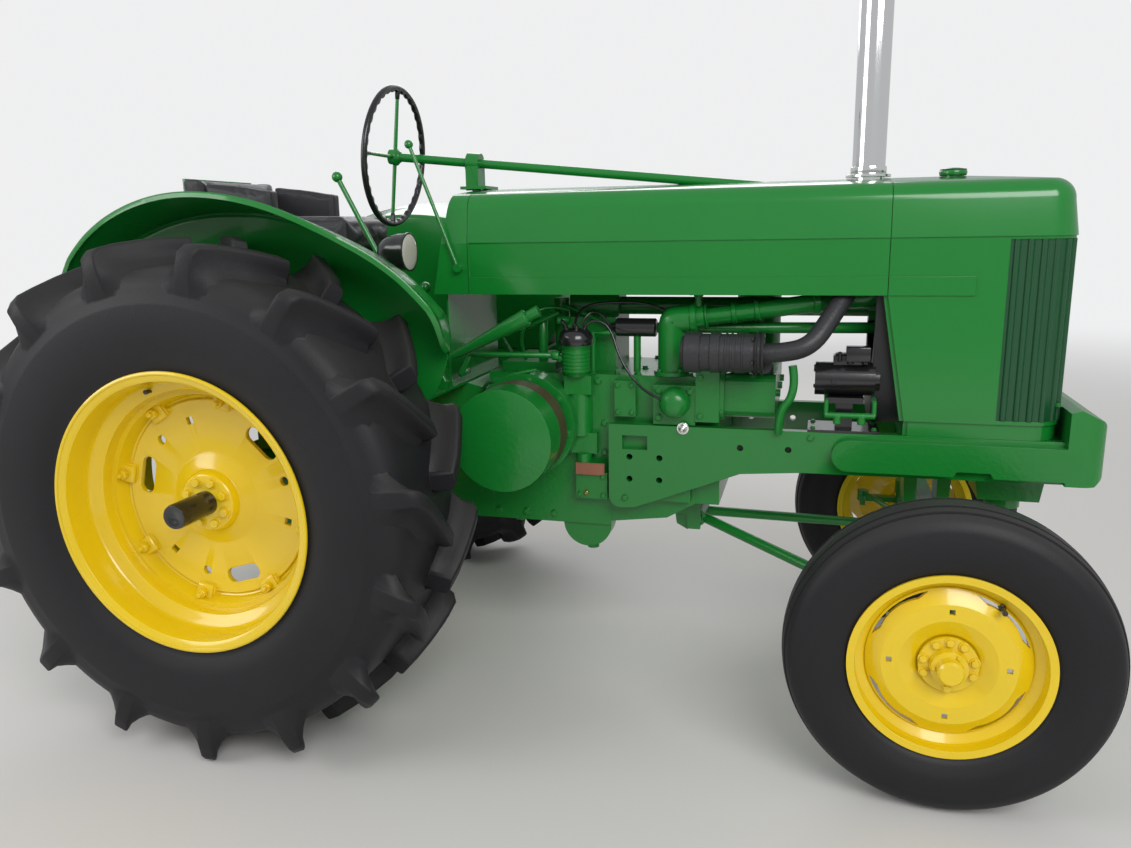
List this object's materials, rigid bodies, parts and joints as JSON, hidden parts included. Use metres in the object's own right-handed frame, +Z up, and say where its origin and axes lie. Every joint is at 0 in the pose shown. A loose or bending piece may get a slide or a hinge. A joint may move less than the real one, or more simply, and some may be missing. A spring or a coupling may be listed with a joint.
{
  "type": "vintage farm tractor",
  "caption": "Vintage standard-tread farm tractor, green with yellow wheels, belt pulley, chrome exhaust stack and steering front axle",
  "frame": {"origin": "middle of the bounding box on the ground, midway between the drawbar's end and the nose casting, on the centre plane", "axes": "+X forward, +Y to the driver's left, +Z up; the ground is Z = 0"},
  "size_m": [3.313, 2.09, 2.5503],
  "materials": {
    "green_casting": "gloss",
    "green_sheet": "gloss",
    "green_grille": "satin",
    "radiator_black": "satin",
    "exhaust_black": "satin",
    "stack_chrome": "polished",
    "gloss_black": "gloss",
    "seat_vinyl": "satin",
    "tyre_rubber": "satin",
    "wheel_yellow": "gloss",
    "grip_black": "gloss"
  },
  "bodies": {
    "chassis": {"transmission_case": "green_casting", "axle_housings": "green_casting", "crankcase": "green_casting", "cylinder_block": "green_casting", "cylinder_head": "green_casting", "frame_rails": "green_sheet", "front_bolster": "green_casting", "front_axle": "green_casting", "hood": "green_sheet", "cowl": "green_sheet", "nose_shell": "green_sheet", "grille": "green_grille", "radiator": "radiator_black", "exhaust_manifold": "exhaust_black", "exhaust_stack": "stack_chrome", "intake_pipe": "green_casting", "air_cleaner": "green_casting", "generator": "gloss_black", "distributor": "gloss_black", "flywheel_cover": "green_casting", "steering_column": "green_sheet", "platform": "green_sheet", "fenders": "green_sheet", "seat_frame": "green_sheet", "seat_cushion": "seat_vinyl", "seat_back": "seat_vinyl", "lamps": "gloss_black", "levers": "green_sheet", "drawbar": "green_casting"},
    "rear_left": {"rear_tyre_left": "tyre_rubber", "rear_wheel_left": "wheel_yellow"},
    "rear_right": {"rear_tyre_right": "tyre_rubber", "rear_wheel_right": "wheel_yellow"},
    "front_left": {"front_tyre_left": "tyre_rubber", "front_wheel_left": "wheel_yellow"},
    "front_right": {"front_tyre_right": "tyre_rubber", "front_wheel_right": "wheel_yellow"},
    "knuckle_l": {"knuckle_left": "green_casting"},
    "knuckle_r": {"knuckle_right": "green_casting"},
    "rod_l": {"tie_rod_left": "green_casting"},
    "rod_r": {"tie_rod_right": "green_casting"},
    "steer_arm": {"steering_arm": "green_casting"},
    "steer_wheel": {"steering_wheel": "grip_black"},
    "pulley": {"belt_pulley": "green_casting"},
    "fan_rotor": {"fan": "radiator_black"}
  },
  "joints": [
    {"name": "steer_left", "type": "hinge", "parent": "chassis", "child": "knuckle_l", "pos_m": [1.2095, 0.53, 0.42], "axis": [0, 0, 1], "range_deg": [-40, 40]},
    {"name": "steer_right", "type": "hinge", "parent": "chassis", "child": "knuckle_r", "pos_m": [1.2095, -0.53, 0.42], "axis": [0, 0, 1], "range_deg": [-40, 40]},
    {"name": "steer_centre", "type": "hinge", "parent": "chassis", "child": "steer_arm", "pos_m": [1.4435, 0, 0.48], "axis": [0, 0, 1], "range_deg": [-40, 40]},
    {"name": "tie_left", "type": "hinge", "parent": "steer_arm", "child": "rod_l", "pos_m": [1.2835, 0, 0.5005], "axis": [0, 0, 1], "range_deg": [-40, 40]},
    {"name": "tie_right", "type": "hinge", "parent": "steer_arm", "child": "rod_r", "pos_m": [1.2835, 0, 0.4595], "axis": [0, 0, 1], "range_deg": [-40, 40]},
    {"name": "wheel_turn", "type": "hinge", "parent": "chassis", "child": "steer_wheel", "pos_m": [-0.6185, 0, 1.789], "axis": [0.9944, 0, -0.1057], "range_deg": [-520, 520]},
    {"name": "roll_rear_left", "type": "hinge", "parent": "chassis", "child": "rear_left", "pos_m": [-0.8565, 0.835, 0.765], "axis": [0, 1, 0], "continuous": true},
    {"name": "roll_rear_right", "type": "hinge", "parent": "chassis", "child": "rear_right", "pos_m": [-0.8565, -0.835, 0.765], "axis": [0, 1, 0], "continuous": true},
    {"name": "roll_front_left", "type": "hinge", "parent": "knuckle_l", "child": "front_left", "pos_m": [1.2095, 0.679, 0.42], "axis": [0, 1, 0], "continuous": true},
    {"name": "roll_front_right", "type": "hinge", "parent": "knuckle_r", "child": "front_right", "pos_m": [1.2095, -0.679, 0.42], "axis": [0, 1, 0], "continuous": true},
    {"name": "pulley_turn", "type": "hinge", "parent": "chassis", "child": "pulley", "pos_m": [-0.0675, -0.43, 0.9], "axis": [0, 1, 0], "continuous": true},
    {"name": "fan_turn", "type": "hinge", "parent": "chassis", "child": "fan_rotor", "pos_m": [1.1435, 0, 1.27], "axis": [1, 0, 0], "continuous": true}
  ],
  "couplings": [
    {"joint": "steer_right", "follows": "steer_left", "ratio": 1},
    {"joint": "steer_centre", "follows": "steer_left", "ratio": 1},
    {"joint": "tie_left", "follows": "steer_left", "ratio": -1},
    {"joint": "tie_right", "follows": "steer_left", "ratio": -1},
    {"joint": "wheel_turn", "follows": "steer_left", "ratio": -13}
  ]
}
